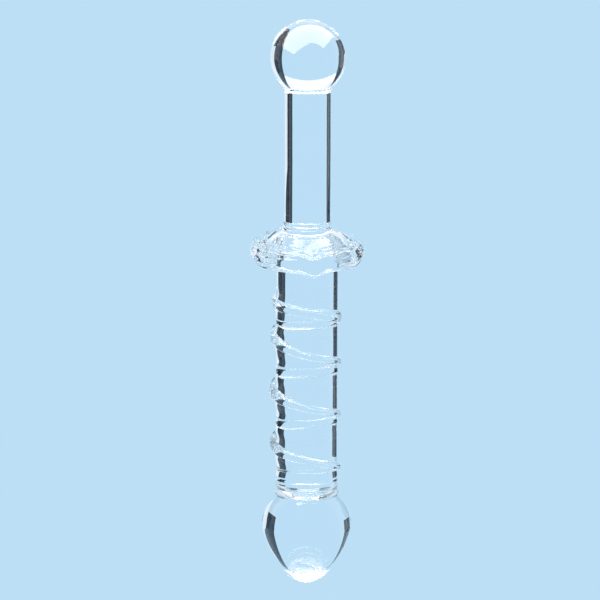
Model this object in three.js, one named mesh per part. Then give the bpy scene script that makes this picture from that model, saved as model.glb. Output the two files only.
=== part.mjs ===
// A solid clear glass wand, flame-worked from rods and gathers of borosilicate glass.
// Millimetres, +Z up along the wand, origin on its axis in the middle of the grip rod, where it is held.
// The front of the wand is -Y and its right side is +X.

import * as THREE from 'three';

// Driving dimensions. Heights are measured from the tip, and the whole wand is moved down at the end.
const totalHeight = 231;
const ballRadius = 15.15;
const gripRadius = 9.3;
const shaftRadius = 12.5;
const shaftTop = 143.4;
const shaftBottom = 42.2;
const flareHeight = 7.6;
const flareRingHeight = 5;
const flareRingRadius = 9.85;
const flareRingSection = 1.1;
const flareConeTopHeight = 2.5;
const flareConeTopRadius = 10.4;
const flareConeDrop = 0.6;
const collarRadius = 23.2;
const collarRimSection = 4.1;
const collarRimHeight = 137.9;
const collarTopAtBore = 145.7;
const collarBottomAtBore = 133.2;
const collarPlainWidth = 1;
const beadRadius = 13;
const beadHeight = 4.8;
const bulbRadius = 18.2;
const bulbWidestHeight = 24.4;
const bulbTop = 36.8;
const bulbTipExponent = 1.42;
const bulbUpperHalfAxis = 17.3;
const jointGap = 0.3;

// The collar sits a little askew: it falls towards the front by this angle.
const collarTilt = THREE.MathUtils.degToRad(6.5);

// Directions of the six tool marks pressed into the collar's rim, from the front towards the right, and
// how deep each one is beside the deepest, which is at the front.
const flutes = [[-115, 0.35], [-55, 0.4], [6.6, 1], [59, 0.45], [112.5, 0.35], [175, 0.4]];
const fluteHalfWidth = THREE.MathUtils.degToRad(11);
const fluteFalloff = 1.5;
const fluteDipAbove = 1.5;
const fluteDipBelow = 1.7;
const fluteBulge = 0.4;

// The trail is wound by hand, so its pitch and its section vary. Each row is a quarter turn further on,
// from the left side through the front: the height of its middle, its half width and how far it stands out.
const trailStations = [
  [117, 2.6, 1.6], [114.4, 2, 1.7], [110.5, 2.9, 1.6], [106.6, 2.2, 1.3],
  [102.8, 3.1, 2.1], [96.8, 1.6, 1.8], [92, 2, 1.6], [86.4, 2.4, 1.5],
  [80.5, 3.2, 2.3], [75.3, 1.6, 1.8], [70.6, 1.9, 1.5], [65.2, 2, 0.9],
  [58.4, 3, 2], [53.6, 1.6, 1.7], [48.6, 2.1, 1.4], [45.6, 1.4, 0.8],
];
const trailStartTurn = -0.1;
const trailEndTurn = 3.8;
const trailTaperTurns = 0.15;
const trailThinnest = 0.12;

// How finely round surfaces are divided.
const roundSegments = 48;
const collarSegments = 72;
const trailStepsPerTurn = 30;
const trailSides = 8;

function glass(colour) {
  return new THREE.MeshStandardMaterial({ color: colour, roughness: 0.04, metalness: 0 });
}

// Points on a circular arc in the (radius, height) plane. Angle 0 points away from the axis.
function arc(centreRadius, centreHeight, radius, fromDegrees, toDegrees, steps) {
  const points = [];
  for (let step = 0; step <= steps; step += 1) {
    const angle = THREE.MathUtils.degToRad(THREE.MathUtils.lerp(fromDegrees, toDegrees, step / steps));
    points.push(new THREE.Vector2(
      centreRadius + radius * Math.cos(angle),
      centreHeight + radius * Math.sin(angle),
    ));
  }
  return points;
}

// Turns a profile, listed upwards along its outside, about the Z axis.
function revolve(profile, segments = roundSegments) {
  return new THREE.LatheGeometry(profile, segments).rotateX(Math.PI / 2);
}

function onAxis(height) {
  return new THREE.Vector2(0, height);
}

// Moves every vertex of a geometry by a function of its position.
function reshape(geometry, move) {
  const positions = geometry.getAttribute('position');
  const point = new THREE.Vector3();
  for (let index = 0; index < positions.count; index += 1) {
    point.fromBufferAttribute(positions, index);
    move(point);
    positions.setXYZ(index, point.x, point.y, point.z);
  }
  geometry.computeVertexNormals();
  return geometry;
}

function addPiece(group, name, geometry, height, colour) {
  const piece = new THREE.Mesh(geometry, glass(colour));
  piece.name = name;
  piece.position.z = height;
  group.add(piece);
}

// The ball is a full sphere down to the circle where it meets the grip rod.
const ballSeatDegrees = -THREE.MathUtils.radToDeg(Math.acos(gripRadius / ballRadius));
const ballSeat = ballRadius * Math.sin(THREE.MathUtils.degToRad(ballSeatDegrees));
const ballCentre = totalHeight - ballRadius;

function gripBall() {
  return revolve([onAxis(ballSeat), ...arc(0, 0, ballRadius, ballSeatDegrees, 90, 16)]);
}

function rod(radius, height) {
  return new THREE.CylinderGeometry(radius, radius, height, roundSegments).rotateX(Math.PI / 2);
}

// The shoulder steps out from the grip rod: a rounded ring, then a cone out to the shaft's radius.
// Its two ends are level, and between them it is as askew as the collar.
function gripFlare() {
  const coneEdge = flareConeTopHeight - flareConeDrop;
  const profile = [
    onAxis(0),
    new THREE.Vector2(shaftRadius, 0),
    new THREE.Vector2(shaftRadius, coneEdge),
    new THREE.Vector2(flareConeTopRadius, flareConeTopHeight),
    ...arc(flareRingRadius - flareRingSection, flareRingHeight, flareRingSection, -20, 60, 4),
    new THREE.Vector2(gripRadius, flareHeight),
    onAxis(flareHeight),
  ];
  const slope = Math.tan(collarTilt);
  return reshape(revolve(profile), (point) => {
    const aboveRing = (flareHeight - point.z) / (flareHeight - flareRingHeight - flareRingSection);
    const askew = Math.min(point.z / coneEdge, aboveRing, 1);
    point.z += point.y * slope * askew;
  });
}

// 1 in the middle of a tool mark, falling to 0 beside it.
function fluteDepth(x, y) {
  const fromFront = Math.atan2(x, -y);
  let depth = 0;
  for (const [degrees, strength] of flutes) {
    const away = fromFront - THREE.MathUtils.degToRad(degrees);
    const turned = Math.atan2(Math.sin(away), Math.cos(away));
    depth += strength * Math.exp(-((turned / fluteHalfWidth) ** 2) * fluteFalloff);
  }
  return Math.min(depth, 1);
}

// The collar is a ring of glass around the shaft, with a sloping top, a round rim and a flat underside.
function flutedCollar() {
  const bore = shaftRadius + jointGap;
  const rimCentre = collarRadius - collarRimSection;
  const profile = [
    new THREE.Vector2(bore, collarBottomAtBore),
    ...arc(rimCentre, collarRimHeight, collarRimSection, -90, 65, 8),
    new THREE.Vector2(bore, collarTopAtBore),
    new THREE.Vector2(bore, collarBottomAtBore),
  ];
  const slope = Math.tan(collarTilt);
  return reshape(revolve(profile, collarSegments), (point) => {
    const radius = Math.hypot(point.x, point.y);
    const outwards = THREE.MathUtils.smoothstep(radius, bore + collarPlainWidth, rimCentre);
    const upwards = THREE.MathUtils.smoothstep(
      point.z,
      collarRimHeight - collarRimSection,
      collarRimHeight + collarRimSection,
    );
    const depth = fluteDepth(point.x, point.y) * outwards;
    const dip = THREE.MathUtils.lerp(fluteDipBelow, fluteDipAbove, upwards);
    const spread = 1 + (fluteBulge * depth) / radius;
    point.z += point.y * slope - dip * depth;
    point.x *= spread;
    point.y *= spread;
  });
}

function neckBead() {
  const side = (beadHeight * beadHeight / 4 + (beadRadius - shaftRadius) ** 2) / (2 * (beadRadius - shaftRadius));
  const spanDegrees = THREE.MathUtils.radToDeg(Math.asin(beadHeight / 2 / side));
  return revolve([
    onAxis(-beadHeight / 2),
    ...arc(beadRadius - side, 0, side, -spanDegrees, spanDegrees, 4),
    onAxis(beadHeight / 2),
  ]);
}

// The tip is an acorn: pointed-round below its widest circle, part of an ellipse above it.
function tipBulb() {
  const below = 12;
  const above = 6;
  const profile = [];
  for (let step = 0; step <= below; step += 1) {
    const drop = Math.cos((Math.PI / 2) * (step / below)) ** (4 / 3);
    profile.push(new THREE.Vector2(
      bulbRadius * Math.sqrt(1 - drop ** bulbTipExponent),
      bulbWidestHeight * (1 - drop),
    ));
  }
  for (let step = 1; step <= above; step += 1) {
    const rise = (bulbTop - bulbWidestHeight) * (step / above);
    profile.push(new THREE.Vector2(
      bulbRadius * Math.sqrt(1 - (rise / bulbUpperHalfAxis) ** 2),
      bulbWidestHeight + rise,
    ));
  }
  profile.push(onAxis(bulbTop));
  return revolve(profile);
}

// The trail's height, half width and rise after a number of turns from the left side. Before the first
// station and past the last one, it carries on as it was going.
function trailAt(turn) {
  const places = trailStations.length - 1;
  const place = turn * 4;
  const inside = THREE.MathUtils.clamp(place, 0, places);
  const curve = new THREE.CatmullRomCurve3(
    trailStations.map((station) => new THREE.Vector3(...station)),
    false,
    'catmullrom',
    0.5,
  );
  const [height, halfWidth, rise] = curve.getPoint(inside / places).toArray();
  const edge = place < 0 ? 0 : places - 1;
  const fall = trailStations[edge + 1][0] - trailStations[edge][0];
  return { height: height + (place - inside) * fall, halfWidth, rise };
}

// A D-shaped bead of glass wound around the shaft, left-handed, thinning out to nothing at each end.
function spiralTrail() {
  const turns = trailEndTurn - trailStartTurn;
  const steps = Math.round(turns * trailStepsPerTurn);
  const inner = shaftRadius + jointGap;
  const straight = new THREE.CylinderGeometry(1, 1, turns, trailSides, steps);
  return reshape(straight, (point) => {
    const fromStart = turns / 2 + point.y;
    const turn = trailStartTurn + fromStart;
    const toEnd = Math.min(fromStart, turns - fromStart) / trailTaperTurns;
    const size = Math.max(Math.sqrt(1 - (1 - THREE.MathUtils.clamp(toEnd, 0, 1)) ** 2), trailThinnest);
    const angle = Math.PI * (1 + 2 * turn);
    const station = trailAt(turn);
    const radius = inner + station.rise * size * Math.max(point.x, 0);
    point.z = station.height + station.halfWidth * size * point.z;
    point.x = radius * Math.cos(angle);
    point.y = radius * Math.sin(angle);
  });
}

const gripTop = ballCentre + ballSeat - jointGap;
const flareBase = shaftTop + jointGap;
const gripBottom = flareBase + flareHeight + jointGap;
const gripLength = gripTop - gripBottom;
const shaftLength = shaftTop - shaftBottom;

const wand = new THREE.Group();
addPiece(wand, 'grip_ball', gripBall(), ballCentre, 0xd6ecf8);
addPiece(wand, 'grip_rod', rod(gripRadius, gripLength), gripBottom + gripLength / 2, 0xcfe7f5);
addPiece(wand, 'grip_flare', gripFlare(), flareBase, 0xe6f3fa);
addPiece(wand, 'fluted_collar', flutedCollar(), 0, 0xe9f4fa);
addPiece(wand, 'shaft', rod(shaftRadius, shaftLength), shaftBottom + shaftLength / 2, 0xcfe7f5);
addPiece(wand, 'spiral_trail', spiralTrail(), 0, 0xe3f1f9);
addPiece(wand, 'neck_bead', neckBead(), bulbTop + jointGap + beadHeight / 2, 0xf1f8fc);
addPiece(wand, 'tip_bulb', tipBulb(), 0, 0xd9edf8);

// The wand can't stand on its tip: a hand holds it by the middle of the grip rod, so the origin is there.
wand.position.z = -(gripBottom + gripLength / 2);

export default wand;
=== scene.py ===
"""The looks of a solid clear glass wand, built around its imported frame.

Metres, +Z up along the wand, origin in the middle of the grip, front towards -Y.
Each piece is a mesh of its own, and all are closed but the shaft's: see SKIN_START. Where two
pieces are fused, both carry a joint material that light crosses unbent, so the assembled
pieces read as one piece of glass.
"""

import functools
import math

import bpy
import numpy as np
from mathutils import Matrix, Vector, noise


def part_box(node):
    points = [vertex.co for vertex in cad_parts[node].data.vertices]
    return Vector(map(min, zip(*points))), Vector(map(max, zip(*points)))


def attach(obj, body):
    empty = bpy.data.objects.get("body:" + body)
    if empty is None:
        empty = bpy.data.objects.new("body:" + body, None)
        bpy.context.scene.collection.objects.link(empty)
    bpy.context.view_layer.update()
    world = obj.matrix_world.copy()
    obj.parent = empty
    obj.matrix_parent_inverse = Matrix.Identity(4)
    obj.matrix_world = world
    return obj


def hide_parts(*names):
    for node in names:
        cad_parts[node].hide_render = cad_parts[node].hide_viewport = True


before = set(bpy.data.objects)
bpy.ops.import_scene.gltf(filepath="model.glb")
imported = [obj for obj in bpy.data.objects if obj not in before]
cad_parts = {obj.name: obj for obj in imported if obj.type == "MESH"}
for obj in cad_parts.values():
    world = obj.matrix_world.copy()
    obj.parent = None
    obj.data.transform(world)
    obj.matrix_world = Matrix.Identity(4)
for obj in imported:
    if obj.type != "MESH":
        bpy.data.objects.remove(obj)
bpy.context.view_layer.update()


# ---- Driving dimensions, in metres: what the frame gives, then what only the looks need ----

def radius_of(node):
    low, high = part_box(node)
    return (high.x - low.x) / 2


def joint_between(lower, upper):
    """The height of the fused joint between two stacked nodes: the middle of their gap."""
    return (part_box(lower)[1].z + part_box(upper)[0].z) / 2


GRIP_R = radius_of("grip_rod")
SHAFT_R = radius_of("shaft")
BALL_R = radius_of("grip_ball")
BEAD_R = radius_of("neck_bead")
BULB_R = radius_of("tip_bulb")
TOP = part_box("grip_ball")[1].z
BALL_JOINT = joint_between("grip_rod", "grip_ball")
GRIP_JOINT = joint_between("grip_flare", "grip_rod")
FLARE_JOINT = joint_between("shaft", "grip_flare")
BEAD_JOINT = joint_between("neck_bead", "shaft")
BULB_JOINT = joint_between("tip_bulb", "neck_bead")

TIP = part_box("tip_bulb")[0].z
BALL_CENTRE = TOP - BALL_R

BULB_WIDEST = TIP + 0.0244
BULB_UPPER_AXIS = 0.0173
BULB_EXPONENT = 1.42

# The roll of glass just under the ball: how proud it stands, how far down it reaches, how soft its edge is.
BALL_ROLL = 0.0005
BALL_ROLL_DEPTH = 0.0018
BALL_ROLL_EDGE = 0.0004

# The neck bead narrows to this where it meets the bulb, and its front is rougher, as far back as this.
BEAD_FOOT = BEAD_R - 0.0003
BULB_SHOULDER = BULB_JOINT - 0.0003
SEAM_BACK = -0.003

# The neck bead's outline: what is added to its radius, and how far up it, as a share of its height.
BEAD_OUTLINE = [
    (0.0001, 0.15), (0.0002, 0.35), (-0.00005, 0.52), (-0.0004, 0.62),
    (-0.00035, 0.68), (-0.0002, 0.78), (-0.0003, 0.90),
]

COLLAR_R = 0.0232
COLLAR_RIM = 0.0041
COLLAR_RIM_Z = TIP + 0.1379
COLLAR_TOP = TIP + 0.1456
COLLAR_BOTTOM = TIP + 0.1332
COLLAR_TILT = math.radians(6.5)
COLLAR_RIPPLE = 0.00017
COLLAR_RIPPLE_PITCH = 0.0021
COLLAR_STREAK = 0.00016
STREAKS_ACROSS = 700
STREAKS_AROUND = 2.5
COLLAR_BELLY = (0.0150, COLLAR_BOTTOM - 0.0003)
COLLAR_SHOULDER = (0.0165, COLLAR_TOP - 0.0023)
COLLAR_PLAIN = 0.001

# The shoulder between the grip and the shaft is a cone, then a rounded ring, in radius and height:
# the cone's from the collar's top, the ring's from its own middle. The ring fades away at the back.
FLARE_RING_Z = FLARE_JOINT + 0.0050
CONE_OUTLINE = [(SHAFT_R, 0), (0.0112, 0.00025), (0.0103, 0.0006), (0.00985, 0.0010)]
RING_OUTLINE = [
    (0.0096, -0.0012), (0.0096, -0.0007), (0.0098, -0.0002), (0.00985, 0.0002),
    (0.0097, 0.0006), (0.0094, 0.0009), (GRIP_R, 0.0014),
]
RING_STARTS = COLLAR_TOP + 0.0012
LEAN_ENDS = FLARE_RING_Z + 0.0010

# The tool marks in the collar's rim: degrees from the front towards the right, and relative depth.
FLUTES = [(-115, 0.35), (-55, 0.4), (6.6, 1), (59, 0.45), (112.5, 0.35), (175, 0.4)]
FLUTE_HALF_WIDTH = math.radians(11)
FLUTE_DIP_ABOVE = 0.0015
FLUTE_DIP_BELOW = 0.0017
FLUTE_BULGE = 0.0004
FLUTE_FALLOFF = 1.5

# The trail, a quarter turn per row, from the left side through the front:
# millimetres from the tip to its middle, half its width and its rise off the shaft.
TRAIL_STATIONS = [
    (117, 2.6, 1.6), (114.4, 2, 1.7), (110.5, 2.9, 1.6), (106.6, 2.2, 1.3),
    (102.8, 3.1, 2.1), (96.8, 1.6, 1.8), (92, 2, 1.6), (86.4, 2.4, 1.5),
    (80.5, 3.2, 2.3), (75.3, 1.6, 1.8), (70.6, 1.9, 1.5), (65.2, 2, 0.9),
    (58.4, 3, 2), (53.6, 1.6, 1.7), (48.6, 2.1, 1.4), (45.6, 1.4, 0.8),
]
STATIONS_PER_TURN = 4
MM_PER_METRE = 1000
TRAIL_START = -0.1
TRAIL_END = 3.8
TRAIL_TAPER = 0.15
SWELL_HEIGHT = 0.0006
SWELL_REACH = 0.0028
SWELL_CLEAR = 0.001

# The trail's cross-section: how flat its top is, and how blunt its edges are.
RIDGE_FLATNESS = 2.5
RIDGE_BLUNTNESS = 0.7

# How far the fire-polished surface strays from true, and how many waves there are to a metre.
SLOW_WAVE = 0.00006
SLOW_WAVES = 55
FAST_WAVE = 0.00001
FAST_WAVES = 160

# How finely the meshes are made.
COLUMNS = 144
DISC_RINGS = 6
ARC_ROWS = 90
ROD_ROWS = 240
SHOULDER_ROWS = 30
BORE_ROWS = 12
UPPER_ROWS = 6
OUTLINE_STEPS = 6
COLLAR_STEPS = 8
BAND_ROWS = 20
GAP_ROWS = 24
SHARP_EDGE = math.radians(40)
ON_AXIS = 1e-9
HAIR = 1e-6
PLACES_PER_METRE = 1e8

# The shaft's skin is laid along the trail's helix, from the collar down to below the shaft, in turns.
# It starts a little too late, which leaves a small opening in the skin, just under the collar's lower
# edge at the right and back.
SKIN_START = -2.4
SKIN_END = 4.5

# A piece's material slots.
OUTER = 0
FUSED = 1
SEAM = 2

# The glass. Roughness is (least, most). Striae are drawn out along the wand; tint is its palest and clearest.
GLASS_IOR = 1.47
POLISHED_ROUGHNESS = (0.0, 0.03)
WORKED_ROUGHNESS = (0.0, 0.06)
PRESSED_ROUGHNESS = (0.0, 0.10)
SEAM_ROUGHNESS = (0.3, 0.45)
STRIAE_SCALE = 260
STRIAE_DETAIL = 2
STRIAE_STRETCH = 0.08
STRIAE_STRENGTH = 0.5
STRIAE_HEIGHT = 0.00002
CLOUD_SCALE = 90
CLOUD_RANGE = (0.45, 0.75)
TINT_LEAST = (0.975, 0.99, 1.0)
TINT_MOST = (1.0, 1.0, 1.0)

LIGHT_BOUNCES = 48

# A colour mix node's sockets.
MIX_FACTOR = 0
MIX_FIRST = 6
MIX_SECOND = 7
MIX_RESULT = 2

CAMERA_DISTANCE = 1.6
CAMERA_LENS_MM = 238
CAMERA_SENSOR_MM = 36
CAMERA_ELEVATION = math.radians(10.8)
CAMERA_ROLL = math.radians(0.18)
AIM = Vector((-0.0029, 0, TIP + 0.1173))


# ---- Meshes ----

def new_piece(name, points, faces, slots, outer, joint):
    """A smooth mesh. slots gives each face's material slot, OUTER or FUSED."""
    mesh = bpy.data.meshes.new(name)
    mesh.from_pydata(points, [], faces)
    mesh.materials.append(outer)
    mesh.materials.append(joint)
    mesh.polygons.foreach_set("material_index", np.array(slots, dtype=np.int32))
    mesh.polygons.foreach_set("use_smooth", np.ones(len(faces), dtype=bool))
    mesh.update()
    mesh.set_sharp_from_angle(angle=SHARP_EDGE)
    piece = bpy.data.objects.new(name, mesh)
    bpy.context.scene.collection.objects.link(piece)
    return piece


def whole_face(corners):
    """A face's corners without repeats of the one before, or None if that leaves no whole face."""
    face = [c for i, c in enumerate(corners) if c != corners[i - 1]]
    return face if len(face) > 2 and len(set(face)) == len(face) else None


def share_of_way(value, low, high):
    """0 at low and 1 at high, and never beyond them."""
    return min(max((value - low) / (high - low), 0), 1)


def smooth_step(value, low, high):
    t = share_of_way(value, low, high)
    return t * t * (3 - 2 * t)


def direction(column):
    angle = 2 * math.pi * (column % COLUMNS) / COLUMNS
    return math.cos(angle), math.sin(angle)


def hand_wave(x, y, z):
    """How far the fire-polished surface strays from true at a place, outwards."""
    slow = noise.noise(Vector((x, y, z)) * SLOW_WAVES)
    fast = noise.noise(Vector((x + 1, y, z)) * FAST_WAVES)
    near_axis = min(math.hypot(x, y) / GRIP_R, 1)
    return (SLOW_WAVE * slow + FAST_WAVE * fast) * near_axis


def revolve(name, profile, joints, outer, joint, move=None):
    """Turns a profile of (radius, height) points about Z. joints has the numbers of its fused segments."""
    points = []
    rings = []
    for radius, height in profile:
        if radius < ON_AXIS:
            rings.append([len(points)] * COLUMNS)
            points.append(Vector((0, 0, height)))
            continue
        ring = []
        for column in range(COLUMNS):
            across, along = direction(column)
            point = Vector((radius * across, radius * along, height))
            stray = hand_wave(*point)
            point.x += stray * across
            point.y += stray * along
            ring.append(len(points))
            points.append(point)
        rings.append(ring)
    if move:
        points = [move(point) for point in points]
    faces = []
    slots = []
    if profile[0] == profile[-1]:
        rings[-1] = rings[0]
    for row in range(len(profile) - 1):
        lower = rings[row]
        upper = rings[row + 1]
        for column in range(COLUMNS):
            after = (column + 1) % COLUMNS
            face = whole_face([lower[column], lower[after], upper[after], upper[column]])
            if face:
                faces.append(face)
                slots.append(FUSED if row in joints else OUTER)
    return new_piece(name, points, faces, slots, outer, joint)


def run_on(knots):
    """The knots with one more at each end, where the curve would carry on to."""
    return [2 * knots[0] - knots[1], *knots, 2 * knots[-1] - knots[-2]]


def between(ends, i, t):
    """Where a Catmull-Rom curve is, a share t of the way from knot i to the next. ends is run_on(knots)."""
    a, b, c, d = ends[i:i + 4]
    return 0.5 * (
        (2 * b) + (c - a) * t
        + (2 * a - 5 * b + 4 * c - d) * t ** 2
        + (3 * b - a - 3 * c + d) * t ** 3
    )


def smooth_line(knots, steps):
    """Points on a Catmull-Rom curve through the knots, with each knot kept."""
    ends = run_on(knots)
    line = [between(ends, i, step / steps) for i in range(len(knots) - 1) for step in range(steps)]
    return [*line, knots[-1]]


def askew(x, y):
    """How far the collar's tilt lifts a place on it."""
    return y * math.tan(COLLAR_TILT)


def disc(height, radius, outwards):
    """Profile points of a flat joint disc, from the axis outwards or back to it."""
    points = [(radius * k / DISC_RINGS, height) for k in range(DISC_RINGS + 1)]
    return points if outwards else points[::-1]


def fused_ends(base, profile, top):
    """The numbers of a profile's segments that lie in the discs at its two ends."""
    return set(range(len(base) - 1)) | set(range(len(profile) - len(top), len(profile) - 1))


# ---- The pieces ----

def grip_ball(outer, joint):
    seat = math.asin((BALL_JOINT - BALL_CENTRE) / BALL_R)
    arc = []
    for k in range(ARC_ROWS + 1):
        angle = seat + (math.pi / 2 - seat) * k / ARC_ROWS
        arc.append((BALL_R * math.cos(angle), BALL_CENTRE + BALL_R * math.sin(angle)))
    arc[-1] = (0, TOP)
    base = disc(BALL_JOINT, GRIP_R, True)
    profile = [*base, *arc[1:]]
    return revolve("grip_ball_glass", profile, set(range(len(base) - 1)), outer, joint)


def grip_rod(outer, joint):
    base = disc(GRIP_JOINT, GRIP_R, True)
    side = []
    for k in range(1, ROD_ROWS):
        height = GRIP_JOINT + (BALL_JOINT - GRIP_JOINT) * k / ROD_ROWS
        below = BALL_JOINT - height
        roll = smooth_step(-below, -BALL_ROLL_DEPTH, -BALL_ROLL_EDGE) * smooth_step(below, 0, BALL_ROLL_EDGE)
        side.append((GRIP_R + BALL_ROLL * roll, height))
    top = disc(BALL_JOINT, GRIP_R, False)
    profile = [*base, *side, *top]
    return revolve("grip_rod_glass", profile, fused_ends(base, profile, top), outer, joint)


def grip_flare(outer, joint):
    """Up to the collar's top the shoulder is inside the collar, so that part of its side is fused too."""
    cone = [Vector((radius, COLLAR_TOP + rise)) for radius, rise in CONE_OUTLINE]
    ring = [Vector((radius, FLARE_RING_Z + rise)) for radius, rise in RING_OUTLINE]
    outline = smooth_line([*cone, *ring, Vector((GRIP_R, GRIP_JOINT))], OUTLINE_STEPS)
    base = disc(FLARE_JOINT, SHAFT_R, True)
    top = disc(GRIP_JOINT, GRIP_R, False)
    profile = [*base, *[tuple(p) for p in outline], *top[1:]]
    fused = fused_ends(base, profile, top) | {len(base) - 1}

    def lean(point):
        """The shoulder leans with the collar, and its ring is full at the front and gone at the back."""
        height = point.z
        rise = share_of_way(height, FLARE_JOINT, COLLAR_TOP)
        fade = share_of_way(height, GRIP_JOINT, LEAN_ENDS)
        point.z += askew(point.x, point.y) * rise * fade
        if RING_STARTS < height < GRIP_JOINT - HAIR:
            radius = math.hypot(point.x, point.y)
            frontness = (1 - point.y / radius) / 2
            spread = (GRIP_R + (radius - GRIP_R) * frontness) / radius
            point.x *= spread
            point.y *= spread
        return point

    return revolve("grip_flare_glass", profile, fused, outer, joint, lean)


def flute_depth(x, y):
    """1 in the middle of a tool mark in the collar's rim, falling to 0 beside it."""
    from_front = math.atan2(x, -y)
    depth = 0
    for degrees, strength in FLUTES:
        away = math.remainder(from_front - math.radians(degrees), 2 * math.pi)
        depth += strength * math.exp(-FLUTE_FALLOFF * (away / FLUTE_HALF_WIDTH) ** 2)
    return min(depth, 1)


def fluted_collar(outer, joint):
    rim = COLLAR_R - COLLAR_RIM
    outline = [Vector((SHAFT_R, COLLAR_BOTTOM)), Vector(COLLAR_BELLY)]
    for degrees in range(-75, 66, 20):
        angle = math.radians(degrees)
        across = rim + COLLAR_RIM * math.cos(angle)
        outline.append(Vector((across, COLLAR_RIM_Z + COLLAR_RIM * math.sin(angle))))
    outline += [Vector(COLLAR_SHOULDER), Vector((SHAFT_R, COLLAR_TOP))]
    surface = [tuple(p) for p in smooth_line(outline, COLLAR_STEPS)]
    bore = []
    for k in range(1, BORE_ROWS):
        bore.append((SHAFT_R, COLLAR_TOP + (COLLAR_BOTTOM - COLLAR_TOP) * k / BORE_ROWS))
    profile = [*surface, *bore, surface[0]]
    fused = set(range(len(surface) - 1, len(profile) - 1))

    def press(point):
        """Tilts the collar, ripples and streaks its surface, and presses the tool marks into its rim."""
        radius = math.hypot(point.x, point.y)
        outwards = smooth_step(radius, SHAFT_R + COLLAR_PLAIN, rim)
        upwards = smooth_step(point.z, COLLAR_RIM_Z - COLLAR_RIM, COLLAR_RIM_Z + COLLAR_RIM)
        depth = flute_depth(point.x, point.y) * outwards
        dip = FLUTE_DIP_BELOW + (FLUTE_DIP_ABOVE - FLUTE_DIP_BELOW) * upwards
        around = Vector((point.x, point.y)) / radius * STREAKS_AROUND
        streak = noise.noise(Vector((radius * STREAKS_ACROSS + around.x, around.y, point.z * STREAKS_ACROSS)))
        outward = Vector((radius - rim, point.z - COLLAR_RIM_Z)).normalized()
        away = outward * COLLAR_STREAK * streak * outwards
        ripple = COLLAR_RIPPLE * math.sin(2 * math.pi * radius / COLLAR_RIPPLE_PITCH) * outwards * upwards
        spread = 1 + FLUTE_BULGE * depth / radius + away.x / radius
        lift = askew(point.x, point.y) - dip * depth + ripple + away.y
        return Vector((point.x * spread, point.y * spread, point.z + lift))

    return revolve("fluted_collar_glass", profile, fused, outer, joint, press)


def neck_bead(outer, joint):
    """Two rolls of glass with a groove between them, where the bulb was drawn on to the shaft."""
    height = BEAD_JOINT - BULB_JOINT
    base = disc(BULB_JOINT, BEAD_FOOT, True)
    top = disc(BEAD_JOINT, SHAFT_R, False)
    rolls = [(BEAD_R + added, share) for added, share in BEAD_OUTLINE]
    knots = [(BEAD_FOOT, 0), *rolls, (SHAFT_R, 1)]
    outline = smooth_line(
        [Vector((radius, BULB_JOINT + share * height)) for radius, share in knots], OUTLINE_STEPS)
    profile = [*base, *[tuple(p) for p in outline[1:-1]], *top]
    bead = revolve("neck_bead_glass", profile, fused_ends(base, profile, top), outer, joint)
    bead.data.materials.append(clear_glass("seam_glass", SEAM_ROUGHNESS))
    for face in bead.data.polygons:
        if face.material_index == OUTER and face.center.y < SEAM_BACK:
            face.material_index = SEAM
    return bead


def tip_bulb(outer, joint):
    outline = []
    for k in range(ARC_ROWS + 1):
        drop = math.cos(math.pi / 2 * k / ARC_ROWS) ** (4 / 3)
        height = TIP + (BULB_WIDEST - TIP) * (1 - drop)
        outline.append((BULB_R * math.sqrt(1 - drop ** BULB_EXPONENT), height))
    outline[0] = (0, TIP)
    for k in range(1, SHOULDER_ROWS + 1):
        rise = (BULB_SHOULDER - BULB_WIDEST) * k / SHOULDER_ROWS
        outline.append((BULB_R * math.sqrt(1 - (rise / BULB_UPPER_AXIS) ** 2), BULB_WIDEST + rise))
    top = disc(BULB_JOINT, BEAD_FOOT, False)
    profile = [*outline, *top]
    fused = set(range(len(profile) - len(top), len(profile) - 1))
    return revolve("tip_bulb_glass", profile, fused, outer, joint)


def trail_at(turn):
    """The height of the trail's middle, its half width and its rise, after some turns from the left side.

    Beyond the first and the last station it carries on as it was going.
    """
    rows = [Vector(station) / MM_PER_METRE for station in TRAIL_STATIONS]
    last = len(rows) - 1
    place = STATIONS_PER_TURN * turn
    inside = min(max(place, 0), last)
    i = min(int(inside), last - 1)
    middle = between(run_on(rows), i, inside - i)
    beyond = (place - inside) * (rows[i + 1].x - rows[i].x)
    return TIP + middle.x + beyond, middle.y, middle.z


def trail_size(turn):
    """1 along the trail, thinning out to 0 at its ends."""
    inside = min(turn - TRAIL_START, TRAIL_END - turn) / TRAIL_TAPER
    if inside <= 0:
        return 0
    return math.sqrt(1 - (1 - min(inside, 1)) ** 2)


@functools.cache
def trail_beside(column):
    """The middle height, half width and size of each pass of the trail over a column."""
    passes = []
    for turn in range(math.floor(TRAIL_START), math.ceil(TRAIL_END) + 1):
        around = (column % COLUMNS) / COLUMNS - 0.5 + turn
        size = trail_size(around)
        if size > 0:
            middle, half_width, _ = trail_at(around)
            passes.append((middle, half_width * size, size))
    return passes


def shaft_surface(column, height):
    """A point on the shaft's skin, which swells a little beside the trail."""
    across, along = direction(column)
    swell = 0
    for middle, half_width, size in trail_beside(column % COLUMNS):
        away = max(abs(height - middle) - half_width, 0)
        swell += SWELL_HEIGHT * size * math.exp(-(away / SWELL_REACH) ** 2)
    leftness = (1 - across) / 2
    radius = SHAFT_R + swell * leftness * smooth_step(height, BEAD_JOINT, BEAD_JOINT + SWELL_CLEAR)
    radius += hand_wave(SHAFT_R * across, SHAFT_R * along, height)
    return Vector((radius * across, radius * along, height))


def helix_column(turn):
    """The column's number, counted from +X, at a number of turns from the left side."""
    return round((turn + 0.5) * COLUMNS)


def band_heights(turn):
    """The heights of the rows across the trail, from its upper edge to its lower."""
    middle, half_width, _ = trail_at(turn)
    half = half_width * trail_size(turn)
    return [middle + half * math.cos(math.pi * k / BAND_ROWS) for k in range(BAND_ROWS + 1)]


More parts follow.
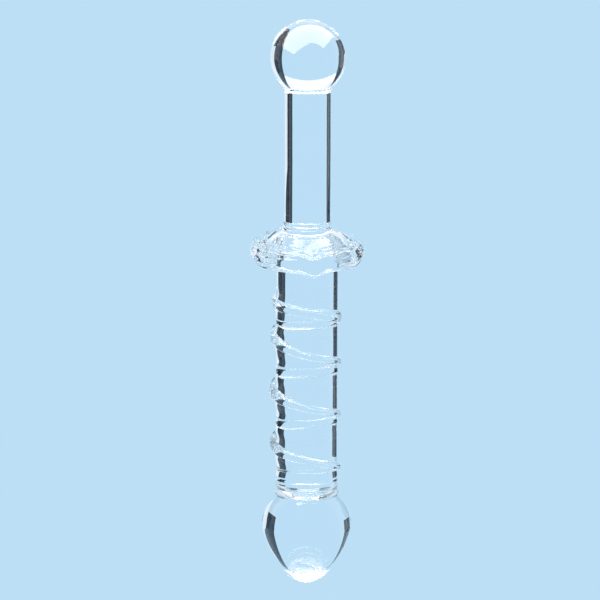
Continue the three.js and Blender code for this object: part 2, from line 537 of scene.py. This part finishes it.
def collar_foot(column):
    """Where the tilted collar's lower edge crosses a column of the shaft."""
    across, along = direction(column)
    return COLLAR_BOTTOM + askew(SHAFT_R * across, SHAFT_R * along)


def shaft(outer, joint):
    """The shaft's skin follows the trail's helix, so that the strip under the trail can be fused to it."""
    points = []
    found = {}

    def vertex(column, height):
        height = min(max(height, BEAD_JOINT), collar_foot(column))
        key = (column % COLUMNS, round(height * PLACES_PER_METRE))
        if key not in found:
            found[key] = len(points)
            points.append(shaft_surface(column, height))
        return found[key]

    faces = []
    slots = []

    def add(corners, slot):
        face = whole_face(corners)
        if face:
            faces.append(face)
            slots.append(slot)

    first = helix_column(SKIN_START)
    last = helix_column(SKIN_END)
    columns = []
    for number in range(first, last + 1):
        turn = number / COLUMNS - 0.5
        band = band_heights(turn)
        following = band_heights(turn + 1)[0]
        gap = [band[-1] + (following - band[-1]) * k / GAP_ROWS for k in range(1, GAP_ROWS + 1)]
        gap[-1] = following
        columns.append([vertex(number, height) for height in [*band, *gap]])
    for i, column in enumerate(columns[:-1]):
        after = columns[i + 1]
        turn = (first + i + 0.5) / COLUMNS - 0.5
        trailed = trail_size(turn) > 0
        for row in range(len(column) - 1):
            slot = FUSED if trailed and row < BAND_ROWS else OUTER
            add([column[row], column[row + 1], after[row + 1], after[row]], slot)

    upper = []
    for number in range(COLUMNS):
        low = collar_foot(number)
        rows = [vertex(number, TOP)]
        for k in range(1, UPPER_ROWS + 1):
            height = low + (FLARE_JOINT - low) * k / UPPER_ROWS
            rows.append(len(points))
            points.append(shaft_surface(number, height))
        upper.append(rows)
    lower = [[vertex(number, TIP)] for number in range(COLUMNS)]
    for ends, height in ((upper, FLARE_JOINT), (lower, BEAD_JOINT)):
        for number in range(COLUMNS):
            rim = points[ends[number][-1]]
            for k in range(DISC_RINGS - 1, 0, -1):
                ends[number].append(len(points))
                points.append(Vector((rim.x * k / DISC_RINGS, rim.y * k / DISC_RINGS, height)))
        centre = len(points)
        points.append(Vector((0, 0, height)))
        for number in range(COLUMNS):
            here = [*ends[number], centre]
            there = [*ends[(number + 1) % COLUMNS], centre]
            for row in range(len(here) - 1):
                corners = [here[row], there[row], there[row + 1], here[row + 1]]
                add(corners if ends is upper else corners[::-1], FUSED)
    return new_piece("shaft_glass", points, faces, slots, outer, joint)


def ridge(across):
    """The trail's cross-section: its height at a place from -1 to 1 across it."""
    return max(1 - abs(across) ** RIDGE_FLATNESS, 0) ** RIDGE_BLUNTNESS


def spiral_trail(outer, joint):
    points = []
    tops = []
    feet = []
    first = helix_column(TRAIL_START) - 1
    last = helix_column(TRAIL_END) + 1
    for number in range(first, last + 1):
        turn = number / COLUMNS - 0.5
        size = trail_size(turn)
        rise = trail_at(turn)[2] * size
        across, along = direction(number)
        top = []
        foot = []
        for k, height in enumerate(band_heights(turn)):
            if size == 0 and k > 0:
                top.append(top[0])
                foot.append(foot[0])
                continue
            skin = shaft_surface(number, height)
            foot.append(len(points))
            points.append(skin)
            if size == 0 or k in (0, BAND_ROWS):
                top.append(foot[-1])
                continue
            lift = rise * ridge(math.cos(math.pi * k / BAND_ROWS))
            top.append(len(points))
            points.append(skin + Vector((across, along, 0)) * lift)
        tops.append(top)
        feet.append(foot)
    faces = []
    slots = []
    for i in range(len(tops) - 1):
        for row in range(BAND_ROWS):
            for strip, slot in ((tops, OUTER), (feet, FUSED)):
                here, there = strip[i], strip[i + 1]
                face = whole_face([here[row], here[row + 1], there[row + 1], there[row]])
                if face:
                    faces.append(face if slot == OUTER else face[::-1])
                    slots.append(slot)
    used = sorted({c for face in faces for c in face})
    renumbered = {old: new for new, old in enumerate(used)}
    faces = [[renumbered[c] for c in face] for face in faces]
    return new_piece("spiral_trail_glass", [points[c] for c in used], faces, slots, outer, joint)


# ---- Materials ----

def clear_glass(name, roughness):
    """Clear glass with faint striae drawn along the wand and faint changes of tint.

    roughness gives its least and its most, which change from place to place.
    """
    material = bpy.data.materials.new(name)
    material.use_nodes = True
    nodes = material.node_tree.nodes
    links = material.node_tree.links
    glass = nodes["Principled BSDF"]
    glass.inputs["Transmission Weight"].default_value = 1
    glass.inputs["IOR"].default_value = GLASS_IOR

    place = nodes.new("ShaderNodeTexCoord").outputs["Object"]
    drawn = nodes.new("ShaderNodeMapping")
    drawn.inputs["Scale"].default_value = (1, 1, STRIAE_STRETCH)
    links.new(place, drawn.inputs["Vector"])

    striae = nodes.new("ShaderNodeTexNoise")
    striae.inputs["Scale"].default_value = STRIAE_SCALE
    striae.inputs["Detail"].default_value = STRIAE_DETAIL
    links.new(drawn.outputs[0], striae.inputs["Vector"])
    bump = nodes.new("ShaderNodeBump")
    bump.inputs["Strength"].default_value = STRIAE_STRENGTH
    bump.inputs["Distance"].default_value = STRIAE_HEIGHT
    links.new(striae.outputs["Fac"], bump.inputs["Height"])
    links.new(bump.outputs[0], glass.inputs["Normal"])

    cloud = nodes.new("ShaderNodeTexNoise")
    cloud.inputs["Scale"].default_value = CLOUD_SCALE
    links.new(place, cloud.inputs["Vector"])
    smear = nodes.new("ShaderNodeMapRange")
    smear.inputs["From Min"].default_value = CLOUD_RANGE[0]
    smear.inputs["From Max"].default_value = CLOUD_RANGE[1]
    smear.inputs["To Min"].default_value = roughness[0]
    smear.inputs["To Max"].default_value = roughness[1]
    links.new(cloud.outputs["Fac"], smear.inputs["Value"])
    links.new(smear.outputs[0], glass.inputs["Roughness"])

    tint = nodes.new("ShaderNodeMix")
    tint.data_type = "RGBA"
    tint.inputs[MIX_FIRST].default_value = (*TINT_LEAST, 1)
    tint.inputs[MIX_SECOND].default_value = (*TINT_MOST, 1)
    links.new(cloud.outputs["Fac"], tint.inputs[MIX_FACTOR])
    links.new(tint.outputs[MIX_RESULT], glass.inputs["Base Color"])
    return material


def one_shader(name, kind):
    """A material of one shader alone, and that shader's node."""
    material = bpy.data.materials.new(name)
    material.use_nodes = True
    nodes = material.node_tree.nodes
    nodes.clear()
    shader = nodes.new(kind)
    output = nodes.new("ShaderNodeOutputMaterial")
    material.node_tree.links.new(shader.outputs[0], output.inputs["Surface"])
    return material, shader


def fused_joint():
    """Light crosses a fused joint unbent and undimmed."""
    material, _ = one_shader("fused_joint", "ShaderNodeBsdfTransparent")
    return material


def emission(name, colour, strength=1):
    material, light = one_shader(name, "ShaderNodeEmission")
    light.inputs["Color"].default_value = (*colour, 1)
    light.inputs["Strength"].default_value = strength
    return material


# ---- The studio ----

def srgb(red, green, blue):
    """A display colour of 0 to 255 as linear light."""
    return tuple(((c / 255 + 0.055) / 1.055) ** 2.4 for c in (red, green, blue))


FLOOR = TIP - 0.17
ROOM_R = 3.0
ROOM_SIDES = 96
SWEEP_R = 1.2
SWEEP_STEPS = 16
WALL_TOP = FLOOR + 2.2

# The plain pale colour of the floor, of the wall it sweeps up into and of the screen behind the wand.
PALE = srgb(188, 223, 246)

# What the dark and the white cards glow with, and the colour and strength of each light.
BLACK = (0.001, 0.003, 0.012)
WHITE = (0.95, 1.0, 1.06)
TOP_LIGHT = ((0.95, 0.97, 1.0), 1.1)
OVER_LIGHT = ((1.0, 0.97, 0.93), 14)
UNDER_LIGHT = ((1.0, 0.99, 0.97), 2.2)
KEY_LIGHT = ((1.0, 0.82, 0.66), 9)


def mesh_object(name, points, faces, material):
    mesh = bpy.data.meshes.new(name)
    mesh.from_pydata(points, [], faces)
    mesh.materials.append(material)
    thing = bpy.data.objects.new(name, mesh)
    bpy.context.scene.collection.objects.link(thing)
    return thing


def room():
    """A plain pale floor that sweeps up all round into a wall and a ceiling of the same colour."""
    profile = [(radius, FLOOR) for radius in (0.0, 0.2, 0.6, 1.2, ROOM_R - SWEEP_R)]
    for k in range(1, SWEEP_STEPS + 1):
        angle = math.pi / 2 * k / SWEEP_STEPS
        profile.append((
            ROOM_R - SWEEP_R + SWEEP_R * math.sin(angle),
            FLOOR + SWEEP_R * (1 - math.cos(angle)),
        ))
    profile += [(ROOM_R, WALL_TOP), (ROOM_R * 0.5, WALL_TOP + 0.6), (0.0, WALL_TOP + 0.8)]
    points = []
    for radius, height in profile:
        for k in range(ROOM_SIDES):
            angle = 2 * math.pi * k / ROOM_SIDES
            points.append((radius * math.cos(angle), radius * math.sin(angle), height))
    faces = []
    for row in range(len(profile) - 1):
        lower = row * ROOM_SIDES
        upper = lower + ROOM_SIDES
        for k in range(ROOM_SIDES):
            after = (k + 1) % ROOM_SIDES
            faces.append([lower + k, lower + after, upper + after, upper + k])
    return mesh_object("room", points, faces, emission("plain_pale", PALE))


def unseen_card(name, points, faces, material):
    """A card or softbox that the glass sees and the camera does not."""
    card = mesh_object(name, points, faces, material)
    card.visible_camera = False


def panel(name, corners, material):
    """A card from its four corners in order round it."""
    unseen_card(name, corners, [[0, 1, 2, 3]], material)


def strip(name, points, material):
    """A card from pairs of points up its two sides."""
    faces = [[k, k + 1, k + 3, k + 2] for k in range(0, len(points) - 2, 2)]
    unseen_card(name, points, faces, material)


def towards(place, bearing, off_centre):
    """Where the sight line with this bearing from straight behind is, y metres back.

    off_centre is how far from the wand's axis the line passes, because light leaves a rod off its axis.
    """
    return (place * math.sin(bearing) - off_centre) / math.cos(bearing)


# The screen behind the wand leans back, and is the same plain pale colour as the floor.
SCREEN_LOW = FLOOR + 0.001
SCREEN_HIGH = TIP + 0.276
SCREEN_FOOT_Y = 0.07
SCREEN_LEAN = 0.50
SCREEN_LEFT = 40
SCREEN_RIGHT = 30.5
OFF_CENTRE = 0.009

# The cards at the sides: where their inner and outer edges stand, y metres back.
RIGHT_DARK_Y = (0.30, 0.17)
LEFT_DARK_Y = (0.56, 0.20)
WHITE_Y = (0.165, 0.03)
CARD_FOOT = TIP - 0.08
LEFT_FOOT_SLANT = 0.035

# The panels on the floor: the light from -UNDER_HALF to UNDER_HALF, with pale panels out to FLOOR_HALF.
PANEL_HEIGHT = FLOOR + 0.002
PANEL_NEAR_Y = -0.05
PANEL_FAR_Y = 0.26
PANEL_CORNER_Y = 0.16
UNDER_HALF = 0.12
FLOOR_HALF = 0.30

# The lights above.
TOP_LIGHT_Y = 0.05
TOP_LIGHT_HEIGHT = TIP + 0.85
OVER_LIGHT_Y = (0.04, 0.22)
OVER_LIGHT_HALF = 0.35
OVER_LIGHT_HEIGHT = TIP + 0.86
KEY_LIGHT_DISTANCE = 0.12
KEY_LIGHT_STEPS = 8

# The two softboxes' shared and outer edges, each from its inner to its outer corner. A corner is given
# by where the ball shows it: its distance from the middle of the ball as a share of the ball's radius,
# and its direction in degrees, from the right towards the top.
KEY_LEFT_EDGE = ((0.36, 172), (0.72, 158))
KEY_PEAK_EDGE = ((0.363, 76), (0.835, 84))
KEY_RIGHT_EDGE = ((0.457, 28), (0.853, 42))


def backdrop():
    """Its sides stop where the dark cards start, as the wand sees them."""
    rows = [
        (SCREEN_LOW, 40, 27), (TIP - 0.015, 40, 28), (TIP + 0.015, 43, 32), (TIP + 0.07, 45, 33),
        (TIP + 0.10, 45, 33), (TIP + 0.115, 45, 33),
        (TIP + 0.125, SCREEN_LEFT, SCREEN_RIGHT), (SCREEN_HIGH, SCREEN_LEFT, SCREEN_RIGHT),
    ]
    points = []
    for height, left, right in rows:
        y = SCREEN_FOOT_Y + SCREEN_LEAN * max(height - TIP, 0)
        points.append((-towards(y, math.radians(left), OFF_CENTRE), y, height))
        points.append((towards(y, math.radians(right), OFF_CENTRE), y, height))
    strip("backdrop", points, emission("plain_screen", PALE))


def standing_card(name, side, rows, edges_y, material, foot_slant=0.0):
    """An upright card beside the wand, from rows of (height, inner bearing, outer bearing) in degrees.

    edges_y is how far back its inner and outer edges stand, and foot_slant how much lower its foot is
    at its inner edge.
    """
    inner_y, outer_y = edges_y
    points = []
    for row, (height, inner, outer) in enumerate(rows):
        slant = foot_slant if row == 0 else 0
        inner_x = side * towards(inner_y, math.radians(inner), OFF_CENTRE)
        outer_x = side * towards(outer_y, math.radians(outer), OFF_CENTRE)
        points.append((inner_x, inner_y, height - slant))
        points.append((outer_x, outer_y, height))
    strip(name, points, material)


def side_cards(black, white, pale):
    """Dark cards at both sides, which draw the dark stripes in the glass, with white cards beside them."""
    right_edges = [
        (CARD_FOOT, 30, 52), (TIP - 0.02, 30, 52), (TIP + 0.015, 30, 55), (TIP + 0.04, 30, 60),
        (TIP + 0.10, 29, 62), (TIP + 0.13, 29, 50), (TIP + 0.22, 29, 50), (TIP + 0.27, 29, 47),
        (TIP + 0.33, 29, 44), (TIP + 0.46, 29, 38), (TIP + 0.75, 27, 33),
    ]
    left_edges = [
        (TIP - 0.115, 42, 71), (TIP + 0.015, 43, 72), (TIP + 0.05, 42, 76), (TIP + 0.11, 42, 76),
        (TIP + 0.13, 38, 66), (TIP + 0.50, 38, 64), (TIP + 0.90, 38, 50),
    ]
    beside_right = [(SCREEN_LOW, 53, 88)]
    beside_right += [(height, outer + 1, 88) for height, _, outer in right_edges]
    beside_left = [
        (TIP + 0.02, 77, 88), (TIP + 0.11, 77, 88), (TIP + 0.17, 63, 86),
        (TIP + 0.30, 60, 86), (TIP + 0.45, 48, 86), (TIP + 0.75, 36, 86),
    ]
    standing_card("right_dark", 1, right_edges, RIGHT_DARK_Y, black)
    standing_card("right_pale", 1, [(SCREEN_LOW, 30, 52), (CARD_FOOT, 30, 52)], RIGHT_DARK_Y, pale)
    standing_card("left_dark", -1, left_edges, LEFT_DARK_Y, black, LEFT_FOOT_SLANT)
    standing_card("right_white", 1, beside_right, WHITE_Y, white)
    standing_card("left_white", -1, beside_left, WHITE_Y, white)


def floor_panels(under, pale):
    panel("under_light", [
        (-UNDER_HALF, PANEL_NEAR_Y, PANEL_HEIGHT), (UNDER_HALF, PANEL_NEAR_Y, PANEL_HEIGHT),
        (UNDER_HALF, PANEL_FAR_Y, PANEL_HEIGHT), (-UNDER_HALF, PANEL_FAR_Y, PANEL_HEIGHT),
    ], under)
    for side, name in ((-1, "floor_pale_left"), (1, "floor_pale_right")):
        near = UNDER_HALF * side
        far = FLOOR_HALF * side
        panel(name, [
            (near, PANEL_NEAR_Y, PANEL_HEIGHT), (far, PANEL_NEAR_Y, PANEL_HEIGHT),
            (far, PANEL_CORNER_Y, PANEL_HEIGHT), (near, PANEL_FAR_Y, PANEL_HEIGHT),
        ], pale)


def lights_above(top, over):
    """One light leans forward from the screen's upper edge, and one lies flat over the wand."""
    screen_y = SCREEN_FOOT_Y + SCREEN_LEAN * (SCREEN_HIGH - TIP)
    left = -towards(screen_y, math.radians(SCREEN_LEFT), OFF_CENTRE)
    right = towards(screen_y, math.radians(SCREEN_RIGHT), OFF_CENTRE)
    panel("top_light", [
        (left, screen_y, SCREEN_HIGH), (right, screen_y, SCREEN_HIGH),
        (right, TOP_LIGHT_Y, TOP_LIGHT_HEIGHT), (left, TOP_LIGHT_Y, TOP_LIGHT_HEIGHT),
    ], top)
    near, far = OVER_LIGHT_Y
    panel("over_light", [
        (-OVER_LIGHT_HALF, near, OVER_LIGHT_HEIGHT), (OVER_LIGHT_HALF, near, OVER_LIGHT_HEIGHT),
        (OVER_LIGHT_HALF, far, OVER_LIGHT_HEIGHT), (-OVER_LIGHT_HALF, far, OVER_LIGHT_HEIGHT),
    ], over)


def studio():
    room()
    backdrop()
    black = emission("black_card", BLACK)
    white = emission("white_card", WHITE)
    pale = emission("pale_card", PALE)
    top = emission("top_light", *TOP_LIGHT)
    over = emission("over_light", *OVER_LIGHT)
    under = emission("under_light", *UNDER_LIGHT)
    key = emission("key_light", *KEY_LIGHT)
    side_cards(black, white, pale)
    floor_panels(under, pale)
    lights_above(top, over)
    key_light(key)


def mirrored_in_ball(share, around, distance):
    """The place that the camera sees mirrored at a point of the ball, at a distance from its centre.

    The point is given by its distance from the middle of the ball's picture, as a share of the ball's
    radius, and by its direction there in degrees, from the right towards the top.
    """
    off_axis = 2 * math.asin(share) - math.asin(BALL_R * share / distance)
    around = math.radians(around)
    to_camera = Vector((0, -math.cos(CAMERA_ELEVATION), math.sin(CAMERA_ELEVATION)))
    up = Vector((0, math.sin(CAMERA_ELEVATION), math.cos(CAMERA_ELEVATION)))
    sideways = Vector((1, 0, 0)) * math.cos(around) + up * math.sin(around)
    return Vector((0, 0, BALL_CENTRE)) + distance * (
        to_camera * math.cos(off_axis) + sideways * math.sin(off_axis)
    )


def key_light(material):
    """Two softboxes above the camera that meet in a peak, and show as the bright patch on the ball."""
    width = KEY_LIGHT_STEPS + 1
    faces = []
    for row in range(KEY_LIGHT_STEPS):
        for column in range(KEY_LIGHT_STEPS):
            first = row * width + column
            faces.append([first, first + 1, first + width + 1, first + width])
    for name, near, far in (
        ("key_light_left", KEY_LEFT_EDGE, KEY_PEAK_EDGE),
        ("key_light_right", KEY_PEAK_EDGE, KEY_RIGHT_EDGE),
    ):
        corners = []
        for inner, outer in (near, far):
            corners.append((
                mirrored_in_ball(*inner, KEY_LIGHT_DISTANCE),
                mirrored_in_ball(*outer, KEY_LIGHT_DISTANCE),
            ))
        points = []
        for row in range(width):
            ends = [inner.lerp(outer, row / KEY_LIGHT_STEPS) for inner, outer in corners]
            for column in range(width):
                points.append(ends[0].lerp(ends[1], column / KEY_LIGHT_STEPS))
        unseen_card(name, points, faces, material)


# ---- The camera ----

def camera():
    data = bpy.data.cameras.new("camera")
    data.lens = CAMERA_LENS_MM
    data.sensor_width = CAMERA_SENSOR_MM
    view = bpy.data.objects.new("camera", data)
    bpy.context.scene.collection.objects.link(view)
    back = Vector((0, -math.cos(CAMERA_ELEVATION), math.sin(CAMERA_ELEVATION)))
    facing = (-back).to_track_quat("-Z", "Y").to_matrix().to_4x4()
    roll = Matrix.Rotation(CAMERA_ROLL, 4, "Z")
    view.matrix_world = Matrix.Translation(AIM + back * CAMERA_DISTANCE) @ facing @ roll
    bpy.context.scene.camera = view


camera()
studio()
polished = clear_glass("polished_glass", POLISHED_ROUGHNESS)
worked = clear_glass("worked_glass", WORKED_ROUGHNESS)
pressed = clear_glass("pressed_glass", PRESSED_ROUGHNESS)
joint_glass = fused_joint()
for build, node, outer_glass in (
    (grip_ball, "grip_ball", polished),
    (grip_rod, "grip_rod", polished),
    (grip_flare, "grip_flare", polished),
    (fluted_collar, "fluted_collar", pressed),
    (shaft, "shaft", polished),
    (spiral_trail, "spiral_trail", worked),
    (neck_bead, "neck_bead", polished),
    (tip_bulb, "tip_bulb", polished),
):
    piece = build(outer_glass, joint_glass)
    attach(piece, "root")
    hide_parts(node)

scene = bpy.context.scene
scene.view_settings.view_transform = "Standard"
# Light goes to and fro inside clear glass many times before it leaves.
scene.cycles.max_bounces = LIGHT_BOUNCES
scene.cycles.glossy_bounces = LIGHT_BOUNCES
scene.cycles.transmission_bounces = LIGHT_BOUNCES
scene.cycles.transparent_max_bounces = 2 * LIGHT_BOUNCES
